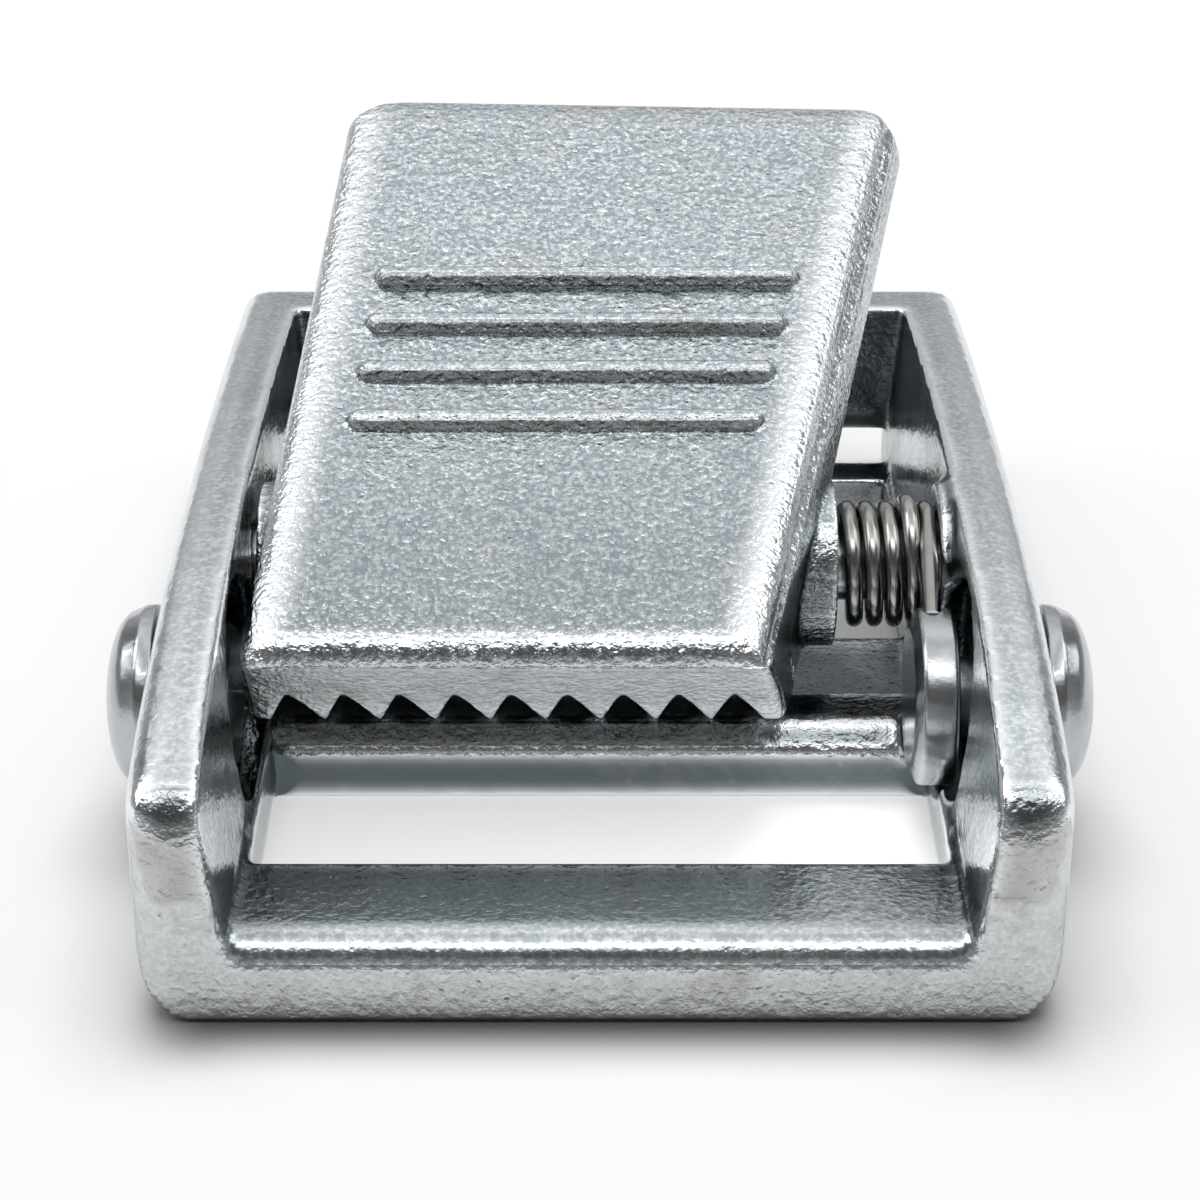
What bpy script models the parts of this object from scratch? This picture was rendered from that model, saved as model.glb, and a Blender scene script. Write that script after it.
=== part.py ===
# Cam buckle for 25 mm webbing: die-cast frame, toothed cam lever, pivot pin, torsion spring, two stub rivets.
# Metres, +Z up, +Y to the rear. The origin is under the middle of the frame, on the surface it rests on.
import math

import bmesh
import bpy
from mathutils import Matrix, Vector

MM = 0.001
GAP = 0.3 * MM                  # running gap between neighbouring pieces

# Frame casting. Places along the buckle are measured from its front face.
LENGTH = 45.0 * MM
HALF_WIDTH = 17.0 * MM
FRONT_TOP = 9.2 * MM            # height of the side walls at the front
CREST_TOP = 11.2 * MM           # and at their highest point
REAR_TOP = 9.3 * MM
CREST_AT = 17.0 * MM
INNER_LOW = 13.65 * MM          # half the clear width just above the bars
INNER_HIGH = 14.2 * MM          # and at the top of the walls
SLOT_HALF = 13.25 * MM          # half the width of the slots through the base
REAR_HALF = 13.85 * MM          # and of the way in under the rear bar
FRONT_BAR = 6.2 * MM
FRONT_BAR_TOP = 3.1 * MM
FRONT_BAR_ROUND = 0.8 * MM
ANVIL_FRONT = 14.9 * MM
RIDGE_REAR = 18.6 * MM
ANVIL_REAR = 24.4 * MM
ANVIL_TOP = 2.0 * MM
ANVIL_SHOULDER = 2.2 * MM       # the anvil's front face is upright to this height, then slopes back
ANVIL_SLOPE = 1.1 * MM
LOW_BAR_FRONT = 37.4 * MM
LOW_BAR_REAR = 39.3 * MM
LOW_BAR_TOP = 2.75 * MM
BRIDGE_FRONT = 41.4 * MM        # the raised rear bar
BRIDGE_UNDER = 2.95 * MM
FOOT_ROUND = 1.7 * MM           # rounding of the frame's outer edges: along the foot of the sides
TOP_ROUND = 1.15 * MM           # along the arched top
FRONT_CORNER_ROUND = 1.3 * MM
REAR_CORNER_ROUND = 0.9 * MM
END_TOP_ROUND = 0.95 * MM       # across the tops of the two ends
END_FOOT_ROUND = 0.4 * MM       # and across their feet
CHANNEL_FILLET = 1.1 * MM       # inner corners between walls and bars
EDGE_ROUND = 0.4 * MM           # small rounding of the casting's other edges
OVER = 20.0 * MM                # cutters reach this far above the frame
UNDER = -3.0 * MM               # and this far below it

# Pivot of the lever
PIVOT_AT = 21.0 * MM
PIVOT_HEIGHT = 7.5 * MM
PIN_RADIUS = 1.5 * MM
PIN_HALF = 16.8 * MM
PIVOT_BOSS = 13.75 * MM         # inner face of the round boss on the right wall

# Stub rivets
RIVET_AT = 13.8 * MM
RIVET_HEIGHT = 5.5 * MM
RIVET_SHANK = 1.6 * MM
RIVET_HEAD = 3.65 * MM
RIVET_REACH = 19.4 * MM         # from the middle to the top of the dome
SEAT_RADIUS = 3.5 * MM          # round seat for the spring's leg, on the right rivet
SEAT_INNER = 12.6 * MM
SEAT_OUTER = 13.55 * MM
FOOT_RADIUS = 3.0 * MM          # riveted-over foot of the left rivet, in its pocket
POCKET_RADIUS = 4.7 * MM        # round pocket in each wall behind the rivet
POCKET_INNER = 13.6 * MM
POCKET_FLOOR = 15.0 * MM

# Cam lever. Its own u runs along the plate from the pin to the tip, w is square to the plate.
LEVER_SLOPE = math.radians(21.0)
PLATE_TOP = 5.2 * MM
PLATE_THICK = 2.6 * MM
CORNER_LEFT = 3.2 * MM
CORNER_RIGHT = 1.8 * MM
TIP_THICK = 2.3 * MM
NOSE_U = -8.15 * MM
TOOTH_U = -7.65 * MM
TIP_U = 23.2 * MM
TIP_SET_BACK = 0.6 * MM         # the tip's right corner lies this much nearer the pin
HUB_RADIUS = 3.4 * MM
HUB_LEFT = -13.85 * MM
HUB_RIGHT = 9.6 * MM
NOSE_LEFT = -13.9 * MM
NOSE_RIGHT = 6.4 * MM
TIP_LEFT = -11.1 * MM
TIP_RIGHT = 13.2 * MM
SIDE_FLARE = 0.9 * MM           # the right side leans out towards its foot by this much
TEETH = 10
TOOTH_PITCH = 2.2 * MM
TOOTH_DEPTH = 1.5 * MM
TOOTH_STEEP = 0.82 * MM         # run of the steeper flank of a notch
FIRST_TIP = -13.15 * MM
LEVER_ROUND = 0.5 * MM
RIB_RADIUS = 0.72 * MM
RIB_HEIGHT = 0.75 * MM
RIB_FIRST_U = 2.97 * MM
RIB_PITCH = 2.73 * MM
RIBS = 4
RIB_MARGIN_LEFT = 2.6 * MM
RIB_MARGIN_RIGHT = 2.2 * MM

# Torsion spring
WIRE_RADIUS = 0.36 * MM
COIL_RADIUS = 2.26 * MM
COIL_PITCH = 0.815 * MM
COIL_START = 10.15 * MM         # where the wire first reaches the top of the coil
TURNS = 4
LIFTED_TURN = 3.0               # the end of this turn rides up over its neighbour
LIFT = 0.4 * MM
COIL_POINTS = 20                # points in a turn


def at(distance):
    """Y of a place measured from the front face."""
    return distance - LENGTH / 2


def clear_scene():
    for thing in list(bpy.data.objects):
        bpy.data.objects.remove(thing, do_unlink=True)


def make_collection(name):
    group = bpy.data.collections.new(name)
    bpy.context.scene.collection.children.link(group)
    return group


def make_material(name, colour, roughness, metallic):
    material = bpy.data.materials.new(name)
    material.use_nodes = True
    shader = material.node_tree.nodes["Principled BSDF"]
    shader.inputs["Base Color"].default_value = (*colour, 1.0)
    shader.inputs["Roughness"].default_value = roughness
    shader.inputs["Metallic"].default_value = metallic
    return material


def shade_round(mesh):
    mesh.shade_smooth()
    mesh.set_sharp_from_angle(angle=math.radians(40))


def add_object(name, mesh, group, material=None):
    thing = bpy.data.objects.new(name, mesh)
    group.objects.link(thing)
    if material:
        mesh.materials.append(material)
    return thing


def solid_from_outline(name, outline, low, high, group, plane="side"):
    """A flat outline, filled and given its depth from low to high. A side outline is (y, z) and runs
    along X, a plan outline is (x, y) and runs along Z."""
    curve = bpy.data.curves.new(name + "_outline", "CURVE")
    curve.dimensions = "2D"
    curve.fill_mode = "BOTH"
    curve.extrude = (high - low) / 2
    spline = curve.splines.new("POLY")
    spline.points.add(len(outline) - 1)
    for point, (a, b) in zip(spline.points, outline):
        point.co = (a, b, 0.0, 1.0)
    spline.use_cyclic_u = True
    flat = bpy.data.objects.new(name + "_outline", curve)
    group.objects.link(flat)
    middle = (low + high) / 2
    if plane == "side":
        turn = Matrix(((0, 0, 1), (1, 0, 0), (0, 1, 0))).to_4x4()
        flat.matrix_world = Matrix.Translation((middle, 0, 0)) @ turn
    else:
        flat.matrix_world = Matrix.Translation((0, 0, middle))
    bpy.context.view_layer.update()
    evaluated = flat.evaluated_get(bpy.context.evaluated_depsgraph_get())
    mesh = bpy.data.meshes.new_from_object(evaluated)
    mesh.transform(flat.matrix_world)
    bpy.data.objects.remove(flat, do_unlink=True)
    shape = bmesh.new()
    shape.from_mesh(mesh)
    bmesh.ops.remove_doubles(shape, verts=shape.verts, dist=0.001 * MM)
    bmesh.ops.dissolve_limit(shape, angle_limit=math.radians(0.5), verts=shape.verts, edges=shape.edges)
    bmesh.ops.recalc_face_normals(shape, faces=shape.faces)
    shape.to_mesh(mesh)
    shape.free()
    mesh.name = name
    return add_object(name, mesh, group)


def round_edges(thing, rule, widest, segments=3):
    """Bevel by weight: rule(middle, direction) gives each edge its own radius."""
    shape = bmesh.new()
    shape.from_mesh(thing.data)
    weight = shape.edges.layers.float.new("bevel_weight_edge")
    for edge in shape.edges:
        start, end = edge.verts[0].co, edge.verts[1].co
        edge[weight] = rule((start + end) / 2, (end - start).normalized()) / widest
    shape.to_mesh(thing.data)
    shape.free()
    bevel = thing.modifiers.new("Round", "BEVEL")
    bevel.limit_method = "WEIGHT"
    bevel.width = widest
    bevel.segments = segments
    return bevel


def combine(thing, other, operation):
    cut = thing.modifiers.new(operation.title() + "_" + other.name, "BOOLEAN")
    cut.operation = operation
    cut.object = other
    cut.solver = "EXACT"
    other.hide_render = True
    other.display_type = "WIRE"
    return cut


def round_bar(name, radius, low, high, centre, group, sides=32):
    """A cylinder along X, from low to high, centred on (y, z)."""
    shape = bmesh.new()
    place = Matrix.Translation(((low + high) / 2, centre[0], centre[1]))
    bmesh.ops.create_cone(shape, cap_ends=True, segments=sides, radius1=radius, radius2=radius,
                          depth=high - low, matrix=place @ Matrix.Rotation(math.pi / 2, 4, "Y"))
    mesh = bpy.data.meshes.new(name)
    shape.to_mesh(mesh)
    shape.free()
    shade_round(mesh)
    return add_object(name, mesh, group)


def wall_top(distance):
    """Height of the side walls' arched top edge."""
    if distance < CREST_AT:
        drop, reach = CREST_TOP - FRONT_TOP, CREST_AT
    else:
        drop, reach = CREST_TOP - REAR_TOP, LENGTH - CREST_AT
    return CREST_TOP - drop * ((distance - CREST_AT) / reach) ** 2


def frame_outline():
    """Side view of the frame: flat foot, square ends and the arched top."""
    steps = 16
    arch = [(at(LENGTH * i / steps), wall_top(LENGTH * i / steps)) for i in range(steps + 1)]
    return [(at(0.0), 0.0)] + arch + [(at(LENGTH), 0.0)]


def frame_edge(middle, direction):
    """Radius of each outer edge of the frame's block."""
    along_x = abs(direction.x) > 0.9
    at_side = abs(abs(middle.x) - HALF_WIDTH) < 0.01 * MM
    at_end = min(abs(middle.y - at(0.0)), abs(middle.y - at(LENGTH))) < 0.01 * MM
    if along_x and at_end:
        return END_FOOT_ROUND if middle.z < MM else END_TOP_ROUND
    if not at_side:
        return 0.0
    if middle.z < 0.01 * MM:
        return FOOT_ROUND
    if at_end:
        return FRONT_CORNER_ROUND if middle.y < 0 else REAR_CORNER_ROUND
    return TOP_ROUND


def channel_edge(middle, direction):
    """Radius of the channel's inner corners: where the walls meet the bars and the bridge bar."""
    along_wall = abs(direction.x) < 0.9 and abs(middle.x) > INNER_LOW / 2
    low_or_rear = middle.z < FRONT_BAR_TOP + MM or middle.y > at(BRIDGE_FRONT - MM)
    return CHANNEL_FILLET if along_wall and low_or_rear else 0.0


def build_frame(group, cutters, material):
    body = solid_from_outline("buckle_frame", frame_outline(), -HALF_WIDTH, HALF_WIDTH, group)
    body.data.materials.append(material)
    round_edges(body, frame_edge, FOOT_ROUND)

    # Open channel between the walls, over the bars and up to the bridge bar
    lean = (INNER_HIGH - INNER_LOW) / (REAR_TOP - FRONT_BAR_TOP)
    high = INNER_LOW + lean * (OVER - FRONT_BAR_TOP)
    steps = 3
    turns = [math.pi / 2 * i / steps for i in range(steps + 1)]
    lip = [(FRONT_BAR_ROUND * (1 - math.cos(turn)), FRONT_BAR_TOP - FRONT_BAR_ROUND * (1 - math.sin(turn)))
           for turn in turns]
    floor = [(-5 * MM, lip[0][1])] + lip
    floor += [(ANVIL_REAR + MM, FRONT_BAR_TOP), (LOW_BAR_FRONT - MM, LOW_BAR_TOP), (BRIDGE_FRONT, LOW_BAR_TOP)]
    roof = [(BRIDGE_FRONT, OVER), (-5 * MM, OVER)]
    outline = [(at(y), z) for y, z in floor + roof]
    channel = solid_from_outline("cut_channel", outline, -1.0 * MM, 1.0 * MM, cutters)
    for vertex in channel.data.vertices:
        half = INNER_LOW if vertex.co.z < OVER / 2 else high
        vertex.co.x = math.copysign(half, vertex.co.x)
    round_edges(channel, channel_edge, CHANNEL_FILLET)
    combine(body, channel, "DIFFERENCE")

    # Slots through the base with the anvil between them, and the way in under the bridge bar
    top = FRONT_BAR_TOP + 3 * MM
    crown = FRONT_BAR_TOP + 0.1 * MM
    ridge_front = ANVIL_FRONT + ANVIL_SLOPE
    ridge_back = RIDGE_REAR - 0.6 * MM
    outlines = {
        "cut_front_slot": [(FRONT_BAR, UNDER), (ANVIL_FRONT, UNDER), (ANVIL_FRONT, ANVIL_SHOULDER),
                           (ridge_front, crown), (ridge_front, top), (FRONT_BAR, top)],
        "cut_rear_slot": [(ridge_back, crown), (RIDGE_REAR + 0.3 * MM, ANVIL_TOP), (ANVIL_REAR, ANVIL_TOP),
                          (ANVIL_REAR, UNDER), (LOW_BAR_FRONT, UNDER), (LOW_BAR_FRONT, top),
                          (ridge_back, top)],
        "cut_way_in": [(LOW_BAR_REAR, UNDER), (LOW_BAR_REAR, 4.0 * MM), (BRIDGE_FRONT - 0.1 * MM, 4.5 * MM),
                       (BRIDGE_FRONT + 0.9 * MM, BRIDGE_UNDER), (LENGTH + 2 * MM, BRIDGE_UNDER),
                       (LENGTH + 2 * MM, UNDER)],
    }
    for name, outline in outlines.items():
        placed = [(at(y), z) for y, z in outline]
        half = REAR_HALF if name == "cut_way_in" else SLOT_HALF
        slot = solid_from_outline(name, placed, -half, half, cutters)
        combine(body, slot, "DIFFERENCE")
    return body


def cut_wall_features(body, cutters):
    """Round pockets behind the rivets, holes for pin and rivets, flat pads for the hub."""
    rivet = (at(RIVET_AT), RIVET_HEIGHT)
    pivot = (at(PIVOT_AT), PIVOT_HEIGHT)
    past = HALF_WIDTH + 2 * MM
    boss = round_bar("add_pivot_boss", HUB_RADIUS, PIVOT_BOSS, HALF_WIDTH - MM, pivot, cutters)
    combine(body, boss, "UNION")
    hole = [(POCKET_FLOOR, RIVET_SHANK + GAP), (past, RIVET_SHANK + GAP), (past, 0.0)]
    pocket = [(POCKET_INNER, POCKET_RADIUS), (POCKET_FLOOR, POCKET_RADIUS)] + hole
    seat_room = [(SEAT_INNER - GAP, 0.0), (SEAT_INNER - GAP, SEAT_RADIUS + GAP),
                 (POCKET_INNER, SEAT_RADIUS + GAP)]
    left_room = [(POCKET_INNER, 0.0), (POCKET_INNER, POCKET_RADIUS)]
    pin_hole = [(past, PIN_RADIUS + GAP), (past, 0.0)]
    pad = -HUB_LEFT + GAP
    left_pad = [(pad - 2 * MM, 0.0), (pad - 2 * MM, HUB_RADIUS + 0.5 * MM), (pad, HUB_RADIUS + 0.5 * MM),
                (pad, PIN_RADIUS + GAP)]
    right_start = [(SLOT_HALF - MM, 0.0), (SLOT_HALF - MM, PIN_RADIUS + GAP)]
    cut_turned(body, "cut_rivet_room_right", seat_room + pocket, rivet, cutters)
    cut_turned(body, "cut_rivet_room_left", mirrored(left_room + pocket[1:]), rivet, cutters)
    cut_turned(body, "cut_pivot_left", mirrored(left_pad + pin_hole), pivot, cutters)
    cut_turned(body, "cut_pivot_right", right_start + pin_hole, pivot, cutters)


def mirrored(profile):
    """The same profile on the left, still from its right end to its left."""
    return [(-x, radius) for x, radius in profile]


def cut_turned(body, name, profile, centre, cutters):
    combine(body, turned(name, profile, centre, cutters, None), "DIFFERENCE")


def round_small_edges(body, radius):
    """The casting's remaining sharp edges take one small rounding."""
    weld = body.modifiers.new("Join_near_corners", "WELD")
    weld.merge_threshold = 0.01 * MM
    bevel = body.modifiers.new("Small_round", "BEVEL")
    bevel.limit_method = "ANGLE"
    bevel.angle_limit = math.radians(50)
    bevel.width = radius
    bevel.segments = 2


def lerp(low, high, share):
    return low + (high - low) * share


def lever_side(u, side):
    """X of the plate's top edge at u along the lever, on the left (-1) or right (+1)."""
    share = (u - NOSE_U) / (TIP_U - NOSE_U)
    return lerp(NOSE_LEFT, TIP_LEFT, share) if side < 0 else lerp(NOSE_RIGHT, TIP_RIGHT, share)


def lever_outline():
    """Side view of the lever in u and w, with the pin's axis at zero. The teeth are level with the pin."""
    belly = HUB_RADIUS - 0.2 * MM       # the barrel stands a little proud of this
    leave = math.pi + math.acos(belly / abs(TOOTH_U))
    meet = math.asin((PLATE_TOP - PLATE_THICK) / belly) + 2 * math.pi
    steps = 10
    turns = [lerp(leave, meet, i / steps) for i in range(steps + 1)]
    return ([(NOSE_U, PLATE_TOP), (TOOTH_U, 0.0)]
            + [(belly * math.cos(turn), belly * math.sin(turn)) for turn in turns]
            + [(TIP_U - 0.15 * MM, PLATE_TOP - TIP_THICK), (TIP_U, PLATE_TOP)])


def lever_edge(middle, direction):
    """Radius of the lever's large roundings: the nose, the tip and the tip's two corners."""
    on_top = middle.z > PLATE_TOP - 0.01 * MM
    at_tip = middle.y > TIP_U - 2 * MM
    if abs(direction.x) > 0.9 and on_top:
        return 0.7 * MM if at_tip else 0.9 * MM
    if abs(direction.z) > 0.9 and at_tip:
        return CORNER_LEFT if middle.x < 0 else CORNER_RIGHT
    return 0.0


def build_lever(group, cutters, material):
    body = solid_from_outline("cam_lever", lever_outline(), -1.0 * MM, 1.0 * MM, group)
    body.data.materials.append(material)
    for vertex in body.data.vertices:
        side = -1 if vertex.co.x < 0 else 1
        depth = min(1.0, (PLATE_TOP - vertex.co.z) / PLATE_THICK)
        flare = SIDE_FLARE * depth if side > 0 else -0.05 * MM * depth
        vertex.co.x = lever_side(vertex.co.y, side) + flare
        if side > 0 and vertex.co.y > TIP_U - MM:
            vertex.co.y -= TIP_SET_BACK
    round_edges(body, lever_edge, CORNER_LEFT, segments=4)
    round_small_edges(body, LEVER_ROUND)

    # Hub: a round barrel right across, standing a little proud of the plate's sides
    hub = round_bar("add_hub", HUB_RADIUS, HUB_LEFT, HUB_RIGHT, (0.0, 0.0), cutters)
    combine(body, hub, "UNION")

    # Grip ribs: half-round bars with round ends
    for number in range(RIBS):
        u = RIB_FIRST_U + number * RIB_PITCH
        rib = build_rib("add_rib_%d" % (number + 1), u, cutters)
        combine(body, rib, "UNION")

    # Notches between the teeth, along the underside of the nose
    for number in range(TEETH - 1):
        notch = build_notch("cut_notch_%d" % (number + 1), FIRST_TIP + number * TOOTH_PITCH, cutters)
        combine(body, notch, "DIFFERENCE")
    bore = round_bar("cut_lever_bore", PIN_RADIUS + GAP, -2 * HALF_WIDTH, 2 * HALF_WIDTH, (0.0, 0.0), cutters)
    combine(body, bore, "DIFFERENCE")
    return body


def build_rib(name, u, cutters):
    """A bar lying across the plate, half sunk into it, with round ends."""
    curve = bpy.data.curves.new(name, "CURVE")
    curve.dimensions = "3D"
    curve.bevel_depth = RIB_RADIUS
    curve.bevel_resolution = 2
    curve.use_fill_caps = True
    left = lever_side(u, -1) + RIB_MARGIN_LEFT
    right = lever_side(u, 1) - RIB_MARGIN_RIGHT
    steps = 4
    ends = [(RIB_RADIUS * (1 - math.cos(math.pi / 2 * i / steps)), math.sin(math.pi / 2 * i / steps))
            for i in range(1, steps + 1)]
    stations = [(left + along, size) for along, size in ends]
    stations += [(right - along, size) for along, size in reversed(ends)]
    spline = curve.splines.new("POLY")
    spline.points.add(len(stations) - 1)
    level = PLATE_TOP + RIB_HEIGHT - RIB_RADIUS
    for point, (x, size) in zip(spline.points, stations):
        point.co = (x, u, level, 1.0)
        point.radius = size
    return curve_to_mesh(name, curve, cutters)


def curve_to_mesh(name, curve, group, material=None):
    """A wire or bar as a closed mesh, with its end caps welded on."""
    wire = bpy.data.objects.new(name + "_path", curve)
    group.objects.link(wire)
    bpy.context.view_layer.update()
    mesh = bpy.data.meshes.new_from_object(wire.evaluated_get(bpy.context.evaluated_depsgraph_get()))
    place = wire.matrix_world.copy()
    bpy.data.objects.remove(wire, do_unlink=True)
    shape = bmesh.new()
    shape.from_mesh(mesh)
    bmesh.ops.remove_doubles(shape, verts=shape.verts, dist=0.001 * MM)
    bmesh.ops.recalc_face_normals(shape, faces=shape.faces)
    shape.to_mesh(mesh)
    shape.free()
    shade_round(mesh)
    thing = add_object(name, mesh, group, material)
    thing.matrix_world = place
    return thing


def build_notch(name, tip, cutters):
    """A V groove between two teeth, running back under the nose. tip is the X of the tooth on its left."""
    back = 0.75 * HUB_RADIUS
    front = NOSE_U - MM
    below = MM
    over_steep = below * TOOTH_STEEP / TOOTH_DEPTH
    over_gentle = below * (TOOTH_PITCH - TOOTH_STEEP) / TOOTH_DEPTH
    section = [(tip + TOOTH_STEEP, TOOTH_DEPTH), (tip - over_steep, -below),
               (tip + TOOTH_PITCH + over_gentle, -below)]
    shape = bmesh.new()
    # The groove follows the sloping underside from the teeth to the hub
    fall = math.tan(math.asin(HUB_RADIUS / abs(TOOTH_U)))
    rings = []
    for u in (front, -back):
        drop = -(u - TOOTH_U) * fall
        rings.append([shape.verts.new((x, u, w + drop)) for x, w in section])
    shape.faces.new(rings[0])
    shape.faces.new(reversed(rings[1]))
    for i in range(3):
        j = (i + 1) % 3
        shape.faces.new((rings[0][j], rings[0][i], rings[1][i], rings[1][j]))
    bmesh.ops.recalc_face_normals(shape, faces=shape.faces)
    mesh = bpy.data.meshes.new(name)
    shape.to_mesh(mesh)
    shape.free()
    return add_object(name, mesh, cutters)


def turned(name, profile, centre, group, material, steps=32):
    """A turned piece on an axis along X: profile is (x, radius), from the axis round to the axis."""
    if profile[0][0] < profile[-1][0]:
        profile = profile[::-1]     # the faces point outwards only when x runs downwards
    mesh = bpy.data.meshes.new(name)
    shape = bmesh.new()
    points = [shape.verts.new((radius, 0.0, x)) for x, radius in profile]
    for start, end in zip(points, points[1:]):
        shape.edges.new((start, end))
    shape.to_mesh(mesh)
    shape.free()
    thing = add_object(name, mesh, group, material)
    thing.location = (0.0, centre[0], centre[1])
    thing.rotation_euler = (0.0, math.pi / 2, 0.0)
    screw = thing.modifiers.new("Turn", "SCREW")
    screw.axis = "Z"
    screw.steps = screw.render_steps = steps
    screw.use_merge_vertices = True
    screw.merge_threshold = 0.00001
    return thing


def dome(rim, reach, radius, steps=6):
    """Profile of a domed head from its crown down to its rim."""
    edge = 0.45 * MM
    points = []
    for i in range(steps + 1):
        angle = math.pi / 2 * i / steps
        height = rim + edge + (reach - rim - edge) * math.cos(angle)
        points.append((height, radius * math.sin(angle)))
    return points


def build_rivets(group, material):
    centre = (at(RIVET_AT), RIVET_HEIGHT)
    rim = HALF_WIDTH + GAP
    crown = dome(rim, RIVET_REACH, RIVET_HEAD)
    inner = POCKET_FLOOR - GAP
    shank = [(rim, RIVET_HEAD - 0.2 * MM), (rim, RIVET_SHANK)]
    seat = [(SEAT_OUTER, RIVET_SHANK), (SEAT_OUTER, SEAT_RADIUS - 0.3 * MM),
            (SEAT_OUTER - 0.3 * MM, SEAT_RADIUS), (SEAT_INNER + 0.5 * MM, SEAT_RADIUS),
            (SEAT_INNER, SEAT_RADIUS - 0.5 * MM), (SEAT_INNER, 0.0)]
    foot = [(inner, RIVET_SHANK), (inner, FOOT_RADIUS), (inner - 0.3 * MM, FOOT_RADIUS - 0.3 * MM),
            (inner - 0.3 * MM, 0.0)]
    right = crown + shank + seat
    left = [(-x, radius) for x, radius in reversed(crown + shank + foot)]
    turned("rivet_right", right, centre, group, material)
    turned("rivet_left", left, centre, group, material)


def build_pin(group, material):
    edge = 0.25 * MM
    profile = [(PIN_HALF, 0.0), (PIN_HALF, PIN_RADIUS - edge), (PIN_HALF - edge, PIN_RADIUS),
               (edge - PIN_HALF, PIN_RADIUS), (-PIN_HALF, PIN_RADIUS - edge), (-PIN_HALF, 0.0)]
    turned("pivot_pin", profile, (at(PIVOT_AT), PIVOT_HEIGHT), group, material, steps=24)


def build_spring(group, material):
    """Four turns from the lever's leg, under the plate, to the leg that presses on the seat."""
    y0, z0 = at(PIVOT_AT), PIVOT_HEIGHT
    # The lever's leg lies under the plate and comes down beside the hub to the back of the coil: x, u and w
    leg = [(6.8 * MM, 4.8 * MM, 1.8 * MM), (8.4 * MM, 4.75 * MM, 1.6 * MM), (9.6 * MM, 4.5 * MM, 1.1 * MM),
           (10.0 * MM, 4.1 * MM, 0.4 * MM), (COIL_START, 3.5 * MM, -0.3 * MM),
           (COIL_START, 2.75 * MM, -1.0 * MM)]
    cosine, sine = math.cos(LEVER_SLOPE), math.sin(LEVER_SLOPE)
    points = [(x, y0 + u * cosine - w * sine, z0 + u * sine + w * cosine) for x, u, w in leg]
    for i in range(-COIL_POINTS // 4, TURNS * COIL_POINTS + 1):
        turn = i / COIL_POINTS
        angle = math.pi / 2 + 2 * math.pi * turn
        lift = LIFT * math.exp(-((turn - LIFTED_TURN) / 0.1) ** 2)
        radius = COIL_RADIUS + lift
        x = COIL_START + COIL_PITCH * max(turn, 0.0)
        points.append((x, y0 + radius * math.cos(angle), z0 + radius * math.sin(angle)))
    end = Vector((SEAT_INNER + 0.4 * MM, at(RIVET_AT) + 0.2 * MM,
                  RIVET_HEIGHT + SEAT_RADIUS + WIRE_RADIUS + GAP))
    start = Vector(points[-1])
    points += [tuple(start.lerp(end, share)) for share in (0.5, 1.0)]
    curve = bpy.data.curves.new("torsion_spring", "CURVE")
    curve.dimensions = "3D"
    curve.bevel_depth = WIRE_RADIUS
    curve.bevel_resolution = 2
    curve.use_fill_caps = True
    spline = curve.splines.new("POLY")
    spline.points.add(len(points) - 1)
    for point, place in zip(spline.points, points):
        point.co = (*place, 1.0)
    curve_to_mesh("torsion_spring", curve, group, material)


def main():
    clear_scene()
    group = make_collection("cam_buckle")
    cutters = make_collection("cutters")
    zinc = make_material("cast_zinc", (0.62, 0.65, 0.68), 0.35, 1.0)
    steel = make_material("plated_steel", (0.45, 0.47, 0.5), 0.3, 1.0)
    wire = make_material("spring_steel", (0.32, 0.3, 0.27), 0.22, 1.0)

    body = build_frame(group, cutters, zinc)
    cut_wall_features(body, cutters)
    round_small_edges(body, EDGE_ROUND)

    lever = build_lever(group, cutters, zinc)
    # The lever and its cutters turn together about the pin
    place = Matrix.Translation((0, at(PIVOT_AT), PIVOT_HEIGHT)) @ Matrix.Rotation(LEVER_SLOPE, 4, "X")
    lever.matrix_world = place
    for cut in lever.modifiers:
        if cut.type == "BOOLEAN":
            cut.object.matrix_world = place

    build_pin(group, steel)
    build_rivets(group, steel)
    build_spring(group, wire)


main()
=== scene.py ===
# Cam buckle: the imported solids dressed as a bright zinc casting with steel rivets, pin and spring
import math

import bmesh
import bpy
import numpy as np
from mathutils import Matrix, Vector
from mathutils.bvhtree import BVHTree


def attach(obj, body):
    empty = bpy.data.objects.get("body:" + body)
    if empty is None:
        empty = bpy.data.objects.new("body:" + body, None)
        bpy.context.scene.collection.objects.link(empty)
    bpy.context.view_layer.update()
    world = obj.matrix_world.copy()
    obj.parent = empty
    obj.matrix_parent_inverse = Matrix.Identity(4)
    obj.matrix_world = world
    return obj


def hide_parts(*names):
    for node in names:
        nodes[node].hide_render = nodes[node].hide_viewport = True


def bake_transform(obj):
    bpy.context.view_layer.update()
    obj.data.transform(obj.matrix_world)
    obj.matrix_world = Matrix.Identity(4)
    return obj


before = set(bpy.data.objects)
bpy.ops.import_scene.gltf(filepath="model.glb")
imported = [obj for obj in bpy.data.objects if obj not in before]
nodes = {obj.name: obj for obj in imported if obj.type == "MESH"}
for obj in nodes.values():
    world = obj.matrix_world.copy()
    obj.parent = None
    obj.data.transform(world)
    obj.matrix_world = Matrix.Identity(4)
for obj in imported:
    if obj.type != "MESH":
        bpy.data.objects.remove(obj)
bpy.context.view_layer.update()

mm = 0.001
print("frame loaded, nodes:", ", ".join(sorted(nodes)))


# Small helpers

def linkObject(name, mesh):
    obj = bpy.data.objects.new(name, mesh)
    bpy.context.scene.collection.objects.link(obj)
    return obj


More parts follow.
